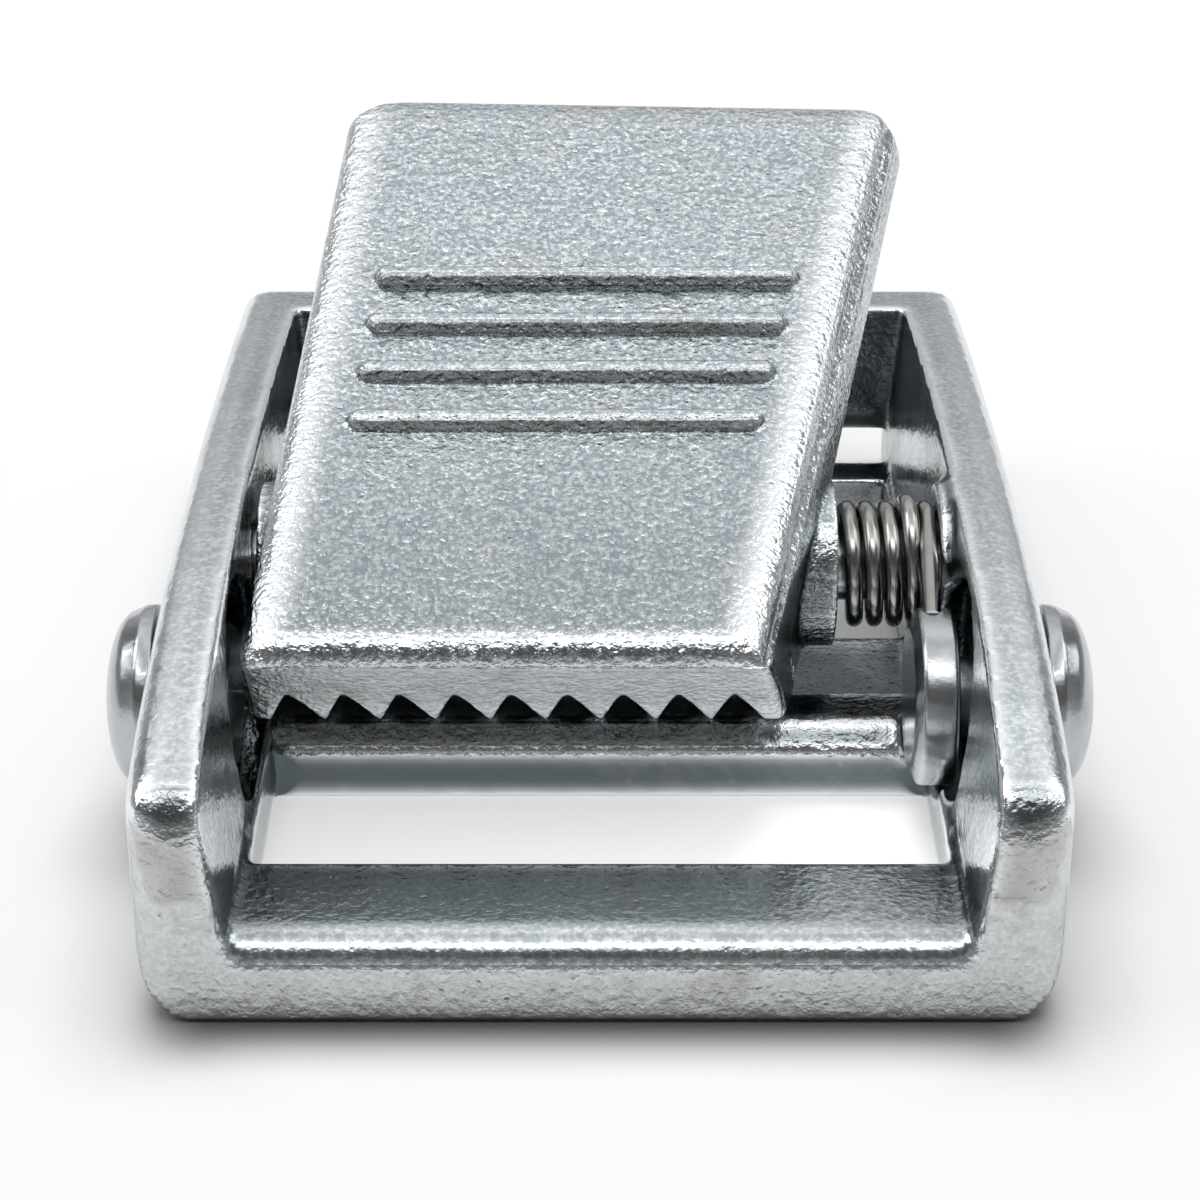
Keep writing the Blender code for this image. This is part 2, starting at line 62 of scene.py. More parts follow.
def plainMesh(obj):  # the mesh as the object's modifiers leave it
    bpy.context.view_layer.update()
    return bpy.data.meshes.new_from_object(obj.evaluated_get(bpy.context.evaluated_depsgraph_get()))


def bakeModifiers(obj):
    finished = plainMesh(obj)
    obj.modifiers.clear()
    obj.data = finished
    return obj


def vertexArray(mesh):
    places = np.empty(len(mesh.vertices) * 3)
    mesh.vertices.foreach_get("co", places)
    return places.reshape(-1, 3)


def normalArray(mesh):
    normals = np.empty(len(mesh.vertices) * 3)
    mesh.vertices.foreach_get("normal", normals)
    return normals.reshape(-1, 3)


def setVertices(mesh, places):
    mesh.vertices.foreach_set("co", places.ravel())
    mesh.update()


def ramp(values, start, length):  # runs from 0 at start to 1 further on by length
    return np.clip((values - start) / length, 0.0, 1.0)


def within(values, limits):
    return (values > limits[0]) & (values < limits[1])


def dressPiece(obj, material, body, slotName, *cadNodes):
    obj.data.materials.clear()
    obj.data.materials.append(material)
    if body:
        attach(obj, body)
    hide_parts(*cadNodes)
    print("made", obj.name, len(obj.data.polygons), "faces")
    return obj


def neighbourMean(mesh, values, passes):  # averages over each vertex and its neighbours
    ends = np.empty(len(mesh.edges) * 2, dtype=np.int64)
    mesh.edges.foreach_get("vertices", ends)
    ends = ends.reshape(-1, 2)
    count = np.bincount(ends.ravel(), minlength=len(mesh.vertices)).astype(float)
    values = np.array(values, dtype=float)
    for _ in range(passes):
        total = np.zeros_like(values)
        for axis in range(values.shape[1]):
            total[:, axis] = np.bincount(ends[:, 0], weights=values[ends[:, 1], axis], minlength=len(values))
            total[:, axis] += np.bincount(ends[:, 1], weights=values[ends[:, 0], axis], minlength=len(values))
        values = 0.5 * values + 0.5 * total / np.maximum(count, 1.0)[:, None]
    return values


def setShare(mesh, name, values):  # one number at each vertex, for the materials
    mesh.attributes.new(name, "FLOAT", "POINT").data.foreach_set("value", values.astype(np.float32))


# Shader node groups shared by the metals

def newGroup(name, inputs, outputs):
    group = bpy.data.node_groups.new(name, "ShaderNodeTree")
    for label, kind, value in inputs:
        socket = group.interface.new_socket(label, in_out="INPUT", socket_type=kind)
        socket.default_value = value
    for label, kind in outputs:
        group.interface.new_socket(label, in_out="OUTPUT", socket_type=kind)
    return group, group.nodes.new("NodeGroupInput"), group.nodes.new("NodeGroupOutput")


def addNode(tree, kind, **settings):
    node = tree.nodes.new(kind)
    for key, value in settings.items():
        if key in node.inputs:
            node.inputs[key].default_value = value
        else:
            setattr(node, key, value)
    return node


def mathNode(tree, operation, first, second=0.0, clamp=False):
    node = tree.nodes.new("ShaderNodeMath")
    node.operation = operation
    node.use_clamp = clamp
    for socket, value in zip(node.inputs, (first, second)):
        if isinstance(value, (int, float)):
            socket.default_value = value
        else:
            tree.links.new(value, socket)
    return node.outputs[0]


def times(tree, first, second, clamp=False):
    return mathNode(tree, "MULTIPLY", first, second, clamp)


def plus(tree, first, second):
    return mathNode(tree, "ADD", first, second)


def above(tree, value, start, gain):  # 0 up to the start, then rises by the gain, to 1 at most
    return times(tree, mathNode(tree, "SUBTRACT", value, start), gain, True)


def splitAxes(tree, where):
    split = tree.nodes.new("ShaderNodeSeparateXYZ")
    tree.links.new(where, split.inputs["Vector"])
    return split.outputs


def noise(tree, coordinates, scale, detail, roughness=0.5):
    node = addNode(tree, "ShaderNodeTexNoise", Detail=detail, Roughness=roughness)
    tree.links.new(coordinates, node.inputs["Vector"])
    if isinstance(scale, (int, float)):
        node.inputs["Scale"].default_value = scale
    else:
        tree.links.new(scale, node.inputs["Scale"])
    return node.outputs["Fac"]


skin = {
    "dimpleScale": 0.37,         # the dimples' and the pits' scale as shares of the fine grain's
    "pitScale": 0.3,
    "pitReach": 0.16,
    "speckFrom": 0.42,           # above this the fine grain shines
    "speckGain": 3.6,
    "cloudGain": 3.0,
    "rubAndHighlightGain": 1.4,
}


def castGrainGroup():  # the orange-peel skin of a casting: fine grain, soft dimples and a few pits
    group, start, end = newGroup(
        "castGrain",
        [("Coordinates", "NodeSocketVector", (0, 0, 0)), ("Grain Size", "NodeSocketFloat", 0.25),
         ("Fine", "NodeSocketFloat", 0.6), ("Dimples", "NodeSocketFloat", 0.6),
         ("Pits", "NodeSocketFloat", 0.3)],
        [("Height", "NodeSocketFloat"), ("Speck", "NodeSocketFloat")])
    where = start.outputs["Coordinates"]
    scale = mathNode(group, "DIVIDE", 1.0 / mm, start.outputs["Grain Size"])   # grain size is in millimetres
    fine = noise(group, where, scale, 2.0, 0.55)
    dimples = noise(group, where, times(group, scale, skin["dimpleScale"]), 1.0)
    cells = addNode(group, "ShaderNodeTexVoronoi", Randomness=1.0)
    group.links.new(where, cells.inputs["Vector"])
    group.links.new(times(group, scale, skin["pitScale"]), cells.inputs["Scale"])
    distance = mathNode(group, "DIVIDE", cells.outputs["Distance"], skin["pitReach"])
    pits = mathNode(group, "SUBTRACT", 1.0, distance, True)
    height = plus(group, times(group, fine, start.outputs["Fine"]),
                  times(group, dimples, start.outputs["Dimples"]))
    height = mathNode(group, "SUBTRACT", height, times(group, pits, start.outputs["Pits"]))
    group.links.new(height, end.inputs["Height"])
    group.links.new(above(group, fine, skin["speckFrom"], skin["speckGain"]), end.inputs["Speck"])
    return group


def tarnishGroup():  # cloudy patches, and the rub and painted highlight that raised edges get
    group, start, end = newGroup(
        "tarnish",
        [("Coordinates", "NodeSocketVector", (0, 0, 0)), ("Patch Size", "NodeSocketFloat", 5.0),
         ("Edge", "NodeSocketFloat", 0.0), ("Cover", "NodeSocketFloat", 0.5)],
        [("Cloud", "NodeSocketFloat"), ("Rub And Highlight", "NodeSocketFloat")])
    scale = mathNode(group, "DIVIDE", 1.0 / mm, start.outputs["Patch Size"])   # so is patch size
    cloud = noise(group, start.outputs["Coordinates"], scale, 4.0, 0.6)
    cloud = plus(group, cloud, mathNode(group, "SUBTRACT", start.outputs["Cover"], 1.0))
    group.links.new(times(group, cloud, skin["cloudGain"], True), end.inputs["Cloud"])
    group.links.new(times(group, start.outputs["Edge"], skin["rubAndHighlightGain"], True), end.inputs["Rub And Highlight"])
    return group


castGrain = castGrainGroup()
tarnish = tarnishGroup()


def slope(tree, value, low, high):  # runs smoothly from 0 at low to 1 at high, also where low is the larger
    node = tree.nodes.new("ShaderNodeMapRange")
    node.interpolation_type = "SMOOTHSTEP"
    node.inputs["From Min"].default_value = low
    node.inputs["From Max"].default_value = high
    tree.links.new(value, node.inputs["Value"])
    return node.outputs["Result"]


def placeGroup(tree, group, **values):
    node = tree.nodes.new("ShaderNodeGroup")
    node.node_tree = group
    for key, value in values.items():
        node.inputs[key.replace("_", " ")].default_value = value
    return node


def mixColour(tree, share, first, second):
    node = tree.nodes.new("ShaderNodeMix")
    node.data_type = "RGBA"
    tree.links.new(share, node.inputs["Factor"])
    for socket, value in ((node.inputs["A"], first), (node.inputs["B"], second)):
        if isinstance(value, tuple):
            socket.default_value = (*value, 1.0)
        else:
            tree.links.new(value, socket)
    return node.outputs["Result"]


def newMaterial(name):
    material = bpy.data.materials.new(name)
    material.use_nodes = True
    tree = material.node_tree
    where = addNode(tree, "ShaderNodeTexCoord").outputs["Object"]
    return material, tree, tree.nodes["Principled BSDF"], where


def finishMetal(tree, shader, colour, rough, height, depth):
    tree.links.new(colour, shader.inputs["Base Color"])
    tree.links.new(rough, shader.inputs["Roughness"])
    shader.inputs["Metallic"].default_value = 1.0
    bump = addNode(tree, "ShaderNodeBump", Strength=1.0, Distance=depth)
    tree.links.new(height, bump.inputs["Height"])
    tree.links.new(bump.outputs["Normal"], shader.inputs["Normal"])


zinc = {
    "colour": (0.46, 0.51, 0.54),            # hollows of the grain
    "speckColour": (0.80, 0.84, 0.87),       # and its bright tops
    "dullColour": (0.52, 0.545, 0.54),       # cloudy patches
    # painted shade, where the castings hide the sky
    "paintedShadeColour": (0.115, 0.135, 0.138),
    # rub and painted highlight on raised edges
    "rubAndHighlightColour": (0.86, 0.89, 0.92),
    "endColour": (0.64, 0.645, 0.63),        # the end faces are greyer and duller
    "stainColour": (0.27, 0.26, 0.235),      # and blotched
    "cloudCover": 0.52,
    "cloudShare": 0.6,           # how far each coat covers the one below
    "endShare": 0.6,
    "stainShare": 0.55,
    "paintedShadeFrom": 0.12,          # painted shade: shelter above this darkens the metal's colour
    "paintedShadeGain": 2.2,
    "stainScale": 420.0,
    "stainFrom": 0.50,
    "stainGain": 5.0,
    "roughness": 0.17,
    "dullRoughness": 0.28,       # of cloudy patches, and of the end faces
    "endRoughness": 0.36,
    "patchSize": 4.0,            # millimetres
    "grainSize": 0.24,           # millimetres
    "grainDepth": 0.000042,
    "plainGrain": 0.7,           # shares of that depth: everywhere, and what is added on the end faces,
    "endGrain": 1.8,             # in cloudy patches, in recesses and on the open upper surfaces
    "cloudGrain": 0.6,
    "recessGrain": 0.8,
    "highGrain": 0.8,
    "highSpan": (0.009, 0.018),
}


def zincMaterial(name, look):
    material, tree, shader, where = newMaterial(name)
    edge, shelter, ends = [addNode(tree, "ShaderNodeAttribute", attribute_name=attribute).outputs["Fac"]
                           for attribute in ("edgeRubAndHighlight", "shelter", "endSkin")]
    grain = placeGroup(tree, castGrain, Grain_Size=look["grainSize"])
    patches = placeGroup(tree, tarnish, Patch_Size=look["patchSize"], Cover=look["cloudCover"])
    tree.links.new(where, grain.inputs["Coordinates"])
    tree.links.new(where, patches.inputs["Coordinates"])
    tree.links.new(edge, patches.inputs["Edge"])
    cloud = patches.outputs["Cloud"]
    # Painted shade: the colour darkens where the shelter attribute says the castings hide the sky
    paintedShade = above(tree, shelter, look["paintedShadeFrom"], look["paintedShadeGain"])
    blotch = noise(tree, where, look["stainScale"], 5.0, 0.68)
    blotch = above(tree, blotch, look["stainFrom"], look["stainGain"])
    # Raised edges get rub and painted highlight
    coats = [(times(tree, cloud, look["cloudShare"]), "dullColour"), (paintedShade, "paintedShadeColour"),
             (patches.outputs["Rub And Highlight"], "rubAndHighlightColour"), (times(tree, ends, look["endShare"]), "endColour"),
             (times(tree, times(tree, blotch, ends), look["stainShare"]), "stainColour")]
    colour = mixColour(tree, grain.outputs["Speck"], look["colour"], look["speckColour"])
    for share, coat in coats:
        colour = mixColour(tree, share, colour, look[coat])
    rough = plus(tree, times(tree, cloud, look["dullRoughness"] - look["roughness"]), look["roughness"])
    rough = mathNode(tree, "MAXIMUM", rough, times(tree, ends, look["endRoughness"]))
    high = slope(tree, splitAxes(tree, where)["Z"], *look["highSpan"])
    deeper = plus(tree, times(tree, ends, look["endGrain"]), look["plainGrain"])
    for share, gain in ((cloud, "cloudGrain"), (high, "highGrain"), (paintedShade, "recessGrain")):
        deeper = plus(tree, deeper, times(tree, share, look[gain]))
    finishMetal(tree, shader, colour, rough, times(tree, grain.outputs["Height"], deeper), look["grainDepth"])
    return material


zincSkin = zincMaterial("zincSkin", zinc)
zincPlate = zincMaterial("zincPlate", {
    **zinc, "colour": (0.38, 0.43, 0.465), "grainSize": 0.22, "grainDepth": 0.00012, "roughness": 0.16,
    "endGrain": 0.7, "endColour": (0.68, 0.705, 0.71)})

steel = {
    "rivetColour": (0.50, 0.52, 0.54),
    "rivetRoughness": 0.22,
    "rivetPatch": 2.0,           # millimetres
    "springColour": (0.40, 0.395, 0.38),
    "springRoughness": 0.18,
    "springPatch": 1.2,          # millimetres
    "scratchDepth": 0.000026,
    "springScratch": 0.12,       # share of that depth on the thin wire
    "patchShade": 0.72,          # the patches keep this share of the brightness
    "patchRoughness": 0.12,      # and are rougher by this much
}


def steelMaterial(name, colour, roughness, depth, patchSize):
    material, tree, shader, where = newMaterial(name)
    grain = placeGroup(tree, castGrain, Grain_Size=0.4, Fine=0.5, Dimples=0.9, Pits=0.5)
    patches = placeGroup(tree, tarnish, Patch_Size=patchSize, Cover=0.5)
    tree.links.new(where, grain.inputs["Coordinates"])
    tree.links.new(where, patches.inputs["Coordinates"])
    cloud = patches.outputs["Cloud"]
    darker = tuple(value * steel["patchShade"] for value in colour)
    rough = plus(tree, times(tree, cloud, steel["patchRoughness"]), roughness)
    finishMetal(tree, shader, mixColour(tree, cloud, colour, darker), rough, grain.outputs["Height"], depth)
    return material


rivetSteel = steelMaterial("rivetSteel", steel["rivetColour"], steel["rivetRoughness"], steel["scratchDepth"],
                           steel["rivetPatch"])
springSteel = steelMaterial("springSteel", steel["springColour"], steel["springRoughness"],
                            steel["scratchDepth"] * steel["springScratch"], steel["springPatch"])
print("materials ready")


# Geometry Nodes helpers

def newGeometryTree(name, inputs):
    tree = bpy.data.node_groups.new(name, "GeometryNodeTree")
    tree.interface.new_socket("Geometry", in_out="INPUT", socket_type="NodeSocketGeometry")
    for label, kind in inputs:
        tree.interface.new_socket(label, in_out="INPUT", socket_type=kind)
    tree.interface.new_socket("Geometry", in_out="OUTPUT", socket_type="NodeSocketGeometry")
    return tree, tree.nodes.new("NodeGroupInput"), tree.nodes.new("NodeGroupOutput")


def finishTree(tree, geometry, materialSocket, end):  # every tree ends in Realize Instances and Set Material
    realize = tree.nodes.new("GeometryNodeRealizeInstances")
    paint = tree.nodes.new("GeometryNodeSetMaterial")
    tree.links.new(geometry, realize.inputs["Geometry"])
    tree.links.new(realize.outputs["Geometry"], paint.inputs["Geometry"])
    tree.links.new(materialSocket, paint.inputs["Material"])
    tree.links.new(paint.outputs["Geometry"], end.inputs["Geometry"])


def runTree(obj, tree, **values):  # sets each named input by its socket's identifier, then makes a plain mesh
    modifier = obj.modifiers.new(tree.name, "NODES")
    modifier.node_group = tree
    identifiers = {item.name: item.identifier for item in tree.interface.items_tree if item.in_out == "INPUT"}
    for key, value in values.items():
        modifier[identifiers[key.replace("_", " ")]] = value
    return bakeModifiers(obj)


# Frame and lever: the cast skins

casting = {
    "frameVoxel": 0.21 * mm,
    "leverVoxel": 0.115 * mm,
    "frameSoften": 2,
    "leverSoften": 1,
    "faceTarget": 92000,
    "edgeReach": 0.07 * mm,      # a raised edge that stands out this much gets the full rub and painted highlight
    "frameEdgePasses": 10,
    "leverEdgePasses": 12,
    "shelterReach": 9.0 * mm,
    "shelterRays": 13,
    "shelterLow": 0.25,          # the flattest ray's rise above the skin
    "shelterLift": 0.35,         # millimetres above the skin where the rays start
    "shelterPasses": 4,
    "highlightPlace": 9.0,            # x in millimetres of the painted highlight's spot on the front bar's top
    "highlightWidth": 3.0,
}
frontward, upward, leftward = Vector((0.0, -1.0, 0.0)), Vector((0.0, 0.0, 1.0)), Vector((-1.0, 0.0, 0.0))
farOff = 99.0


def zone(share, x, y, z, faces, least, rise=0.0, riseFrom=0.0, highlightShare=0.0):
    return {"share": share, "box": (x, y, z), "faces": faces, "least": least, "rise": rise,
            "riseFrom": riseFrom, "highlightShare": highlightShare}


# Where shelter is given, in millimetres: the first zone that holds a point counts. A zone has a box,
# the way that its faces look with the least part of the normal along it, and a share that can rise along y
# Painted shade: each zone's share darkens the metal's colour, as the shelter does elsewhere
shelterZones = [
    # Painted shade on the face behind the slot
    zone(0.70, (-14.0, 14.0), (-9.0, -6.0), (-1.0, 3.2), frontward, 0.4),
    # Painted shade on the front bar's top, with a painted highlight at one spot
    zone(0.50, (-13.6, 13.6), (-21.0, -14.0), (-1.0, 4.2), upward, 0.8, rise=0.02, riseFrom=-15.0, highlightShare=0.25),
    # The anvil's front strip
    zone(0.14, (-14.0, 14.0), (-8.0, -5.6), (-1.0, 3.0), upward, 0.5),
    # Painted shade on the plate, darker towards its nose
    zone(0.12, (-13.0, 13.0), (-10.5, 4.0), (6.0, farOff), upward, 0.8, rise=-0.012, riseFrom=4.0),
    # The nose, with little painted shade
    zone(0.08, (-13.0, 13.0), (-farOff, -7.0), (4.3, farOff), frontward, 0.4),
    # Both ends of the slot
    zone(0.36, (-15.0, 15.0), (-16.5, -7.0), (-1.0, 3.2), None, 0.6),
    # The wall beside the spring
    zone(0.65, (12.8, farOff), (-9.0, 1.0), (4.5, farOff), leftward, 0.5),
]


def castTree():  # both castings, for asking what hides a point from the light
    corners, faces = [], []
    for node in ("buckle_frame", "cam_lever"):
        mesh = nodes[node].data
        faces += [[len(corners) + i for i in p.vertices] for p in mesh.polygons]
        corners += [v.co.copy() for v in mesh.vertices]
    return BVHTree.FromPolygons(corners, faces)


castings = castTree()


def zoneShare(place, normal):  # the share given at a place in millimetres, or None outside all zones
    for row in shelterZones:
        facing = abs(normal.x) if row["faces"] is None else normal.dot(row["faces"])
        if facing > row["least"] and all(low < value < high for value, (low, high) in zip(place, row["box"])):
            # Painted highlight: the share is lowered around one spot on the front bar's top
            brightSpot = math.exp(-((place.x - casting["highlightPlace"]) / casting["highlightWidth"]) ** 2)
            return row["share"] + row["rise"] * (place.y - row["riseFrom"]) - row["highlightShare"] * brightSpot
    return None


def markShelter(mesh):  # share of the sky that the castings hide from a point
    rays, lowest = casting["shelterRays"], casting["shelterLow"]
    golden = math.pi * (3.0 - math.sqrt(5.0))
    fan = []
    for i in range(rays):
        height = lowest + (1.0 - lowest) * (i + 0.5) / rays
        flat = math.sqrt(1.0 - height * height)
        fan.append(Vector((flat * math.cos(golden * i), flat * math.sin(golden * i), height)))
    hidden = np.zeros(len(mesh.vertices))
    for vertex in mesh.vertices:
        share = zoneShare(vertex.co / mm, vertex.normal)
        if share is None:
            turn = vertex.normal.to_track_quat("Z", "Y")
            start = vertex.co + vertex.normal * casting["shelterLift"] * mm
            found = [castings.ray_cast(start, turn @ ray, casting["shelterReach"])[0] for ray in fan]
            share = sum(place is not None for place in found) / rays
        hidden[vertex.index] = share
    # Painted shade: the zinc materials darken the colour where this share is high
    setShare(mesh, "shelter", neighbourMean(mesh, hidden[:, None], casting["shelterPasses"])[:, 0])


def edgeLift(mesh, passes):  # above 0 on raised edges and below 0 in corners
    places = vertexArray(mesh)
    lift = ((places - neighbourMean(mesh, places, passes)) * normalArray(mesh)).sum(axis=1)
    return np.clip(lift / casting["edgeReach"], -1.0, 1.0)


def castCopy(name, node):
    mesh = nodes[node].data.copy()
    shape = bmesh.new()
    shape.from_mesh(mesh)
    bmesh.ops.remove_doubles(shape, verts=shape.verts, dist=0.001 * mm)
    shape.to_mesh(mesh)
    shape.free()
    return linkObject(name, mesh)


def softenCast(obj, voxel, passes):  # one even skin with every edge a little softened, as a casting has
    remesh = obj.modifiers.new("evenSkin", "REMESH")
    remesh.mode = "VOXEL"
    remesh.voxel_size = voxel
    remesh.use_smooth_shade = True
    soften = obj.modifiers.new("soften", "SMOOTH")
    soften.factor = 0.5
    soften.iterations = passes
    return bakeModifiers(obj)


def lighten(obj, faces):  # fewer faces where the skin is flat
    ratio = faces / len(obj.data.polygons)
    if ratio < 1.0:
        collapse = obj.modifiers.new("lighten", "DECIMATE")
        collapse.ratio = ratio
        bakeModifiers(obj)
    return obj


def roundEdge(inward, depth, radius):  # both run into the metal, and points outside the rounding move onto it
    a = np.clip(radius - inward, 0.0, None)
    b = np.clip(radius - depth, 0.0, None)
    reach = np.hypot(a, b)
    move = (a > 0) & (b > 0) & (reach > radius)
    scale = np.where(move, radius / np.maximum(reach, 1e-9), 1.0)
    return np.where(move, radius - a * scale, inward), np.where(move, radius - b * scale, depth)


# The frame's front end. A span is where a change starts and over what length it sets in
front = {
    "end": -22.5 * mm,           # y of the front end at its foot
    "draft": 0.065,              # it leans back from there, as it left the mould
    "draftSpan": (17.5 * mm, 4.0 * mm),
    "side": 17.0 * mm,
    "wallTop": 9.4 * mm,         # the walls' height at the end, and its rise along y
    "wallRise": 0.103,
    "cornerRound": 2.0 * mm,     # tops of the front corners
    "cornerFrom": 5.0 * mm,
    "barTop": 3.1 * mm,
    "barHalf": 13.4 * mm,
    "barFront": -20.0 * mm,
    "barLow": 1.0 * mm,
    "lipDrop": 0.22 * mm,        # the bar's top starts this much lower at the slot
    "lipRise": 0.50 * mm,        # and slopes up to its front edge by this much
    "riseSpan": (16.0 * mm, 5.3 * mm),
    "topLow": (1.2 * mm, 1.6 * mm),
    "topHigh": (-7.0 * mm, 2.0 * mm),
    "topBack": (14.5 * mm, 0.5 * mm),
    "lipRound": 1.15 * mm,
    "footFront": -19.0 * mm,
    "footHigh": 1.2 * mm,        # the foot below this is stretched down, for a tight edge
    "footStretch": 1.14,
    "footRound": 2.8 * mm,       # the outer feet
    "footSpan": (15.0 * mm, 4.0 * mm),
    "footTop": 3.5 * mm,
    "passes": 10,                # smoothing of all its edges
    "softSpan": (19.6 * mm, 1.2 * mm),
    "softLow": (1.3 * mm, 0.9 * mm),
}


def roundFront(mesh):
    places = vertexArray(mesh)
    x, y, z = places.T
    forward = ramp(-y, *front["riseSpan"])
    onTop = ramp(z, *front["topLow"]) * ramp(-z, *front["topHigh"]) * ramp(-y, *front["topBack"])
    z += (front["lipRise"] * forward - front["lipDrop"]) * onTop
    y += front["draft"] * z * ramp(-y, *front["draftSpan"])
    low = (y < front["footFront"]) & (z < front["footHigh"])
    z[low] = np.maximum(front["footHigh"] - (front["footHigh"] - z[low]) * front["footStretch"], 0.0)
    # Tops of the two corners, then the bar's front edge
    lean = front["draft"] * z + front["end"]
    top = front["wallTop"] + front["wallRise"] * (y - front["end"])
    inward, depth = roundEdge(y - lean, top - z, front["cornerRound"])
    tall = z > front["cornerFrom"]
    y[tall] = (lean + inward)[tall]
    z[tall] = (top - depth)[tall]
    top = front["barTop"] + front["lipRise"] * forward - front["lipDrop"]
    inward, depth = roundEdge(y - lean, top - z, front["lipRound"])
    onBar = (np.abs(x) < front["barHalf"]) & (y < front["barFront"]) & (z > front["barLow"])
    y[onBar] = (lean + inward)[onBar]
    z[onBar] = (top - depth)[onBar]
    # The outer feet
    inward, depth = roundEdge(front["side"] - np.abs(x), z, front["footRound"])
    foot = ramp(-y, *front["footSpan"]) * (z < front["footTop"])
    x += foot * (np.sign(x) * (front["side"] - inward) - x)
    z += foot * (depth - z)
    share = (ramp(-y, *front["softSpan"]) * ramp(z, *front["softLow"]))[:, None]
    for _ in range(front["passes"]):
        places += share * (neighbourMean(mesh, places, 1) - places)
    z[:] = np.maximum(z, 0.0)
    setVertices(mesh, places)


frameCoat = {
    "facing": (0.95, 0.045),     # an end's face looks this far along y, upright edges with it
    "notSide": (-0.93, 0.1),
    "ends": 21.3 * mm,
    "anvilX": (-13.5, 6.5),      # the anvil's top, in millimetres
    "anvilY": (-7.4, -5.6),
    "anvilHigh": 3.0,
    "anvilLevel": 0.5,
    "lipY": -19.0,               # low at the front, edges keep this share of their rub and painted highlight
    "lipHigh": 4.6,
    "lipShare": 0.15,
}


def frameDull(mesh):  # the faces of the two ends with their upright edges, and the anvil's top
    places, normals = vertexArray(mesh), normalArray(mesh)
    level = np.abs(normals[:, 1]) / np.maximum(np.hypot(normals[:, 1], normals[:, 2]), 1e-6)
    facing = ramp(level, *frameCoat["facing"]) * ramp(-np.abs(normals[:, 0]), *frameCoat["notSide"])
    x, y, z = (places / mm).T
    anvil = within(x, frameCoat["anvilX"]) & within(y, frameCoat["anvilY"]) & (z < frameCoat["anvilHigh"])
    anvil &= normals[:, 2] > frameCoat["anvilLevel"]
    return np.maximum(facing * (np.abs(places[:, 1]) > frameCoat["ends"]), 1.0 * anvil)


# Rub and painted highlight on the frame's raised edges, less on the front bar's lip
def frameRubAndHighlight(mesh):
    rubAndHighlight = edgeLift(mesh, casting["frameEdgePasses"])
    y, z = (vertexArray(mesh)[:, 1:] / mm).T
    rubAndHighlight[(y < frameCoat["lipY"]) & (z < frameCoat["lipHigh"])] *= frameCoat["lipShare"]
    return rubAndHighlight


def buildFrame():
    obj = softenCast(castCopy("frameSkin", "buckle_frame"), casting["frameVoxel"], casting["frameSoften"])
    roundFront(obj.data)
    lighten(obj, casting["faceTarget"])
    setShare(obj.data, "edgeRubAndHighlight", frameRubAndHighlight(obj.data))
    setShare(obj.data, "endSkin", frameDull(obj.data))
    markShelter(obj.data)
    dressPiece(obj, zincSkin, "frame", "cast_zinc", "buckle_frame")


buildFrame()

# The lever's own x, u and w run across the plate, along it from the pin to the tip, and up from it
lever = {
    "pivot": Vector((0.0, -1.5 * mm, 7.5 * mm)),
    "slope": math.radians(21.0),
    "plateTop": 5.2 * mm,
    "noseU": -8.15 * mm,
    "tipU": 23.2 * mm,
    "left": (-13.9 * mm, -11.1 * mm),        # x of the plate's sides at its nose and at its tip
    "right": (6.4 * mm, 13.2 * mm),
    "sideFall": 0.36 * mm,       # the plate is crowned: its sides and nose fall away by this much
    "sideReach": 2.0 * mm,
    "sideLimit": 1.3,
    "noseFall": 0.18 * mm,
    "noseReach": 4.0 * mm,
    "noseLimit": 1.2,
    "fallDepth": 1.2 * mm,       # what lies this far below the plate's top doesn't fall
    "noseReachOut": 0.75 * mm,   # the nose leans out over its teeth by this much, over two spans
    "leanHeight": (0.6 * mm, 3.6 * mm),
    "leanLength": (5.0 * mm, 3.0 * mm),
    "teethU": -5.2 * mm,
    "notchTop": 1.5 * mm,
    "toothStretch": 1.45,        # the teeth are this many times as deep as the solid's
    "noseRound": 1.25 * mm,      # roundings along the plate's four edges
    "sideRound": 0.75 * mm,
    "tipRound": 0.8 * mm,
    "noseFace": (-6.5 * mm, -0.9 * mm),      # the nose's face lies before this u and this far under the top
    "dullSpan": (0.50, 0.25),
    "ribDull": 0.9,
    "ribRubAndHighlight": 0.3,               # the ribs' share of the rub and painted highlight
    "rubAndHighlightSpan": (0.8 * mm, 1.5 * mm),         # the plate's sides get rub and painted highlight, less and less inwards
    "rubAndHighlightPower": 1.5,
}
leverPlace = Matrix.Translation(lever["pivot"]) @ Matrix.Rotation(lever["slope"], 4, "X")


def plateSide(u, side):  # x of the plate's left or right side
    nose, tip = lever["left"] if side < 0 else lever["right"]
    return nose + (tip - nose) * ((u - lever["noseU"]) / (lever["tipU"] - lever["noseU"]))


ribs = {
    "count": 4,
    "firstU": 3.17 * mm,
    "pitch": 2.73 * mm,
    "marginLeft": 2.6 * mm,
    "marginRight": 2.2 * mm,
    "top": 0.50 * mm,            # section: width of its flat top, width at its sunken foot, height
    "foot": 1.45 * mm,
    "height": 1.30 * mm,
    "round": 0.12 * mm,
    "level": 5.1 * mm,           # height of a rib's middle, in the plate's own w
}


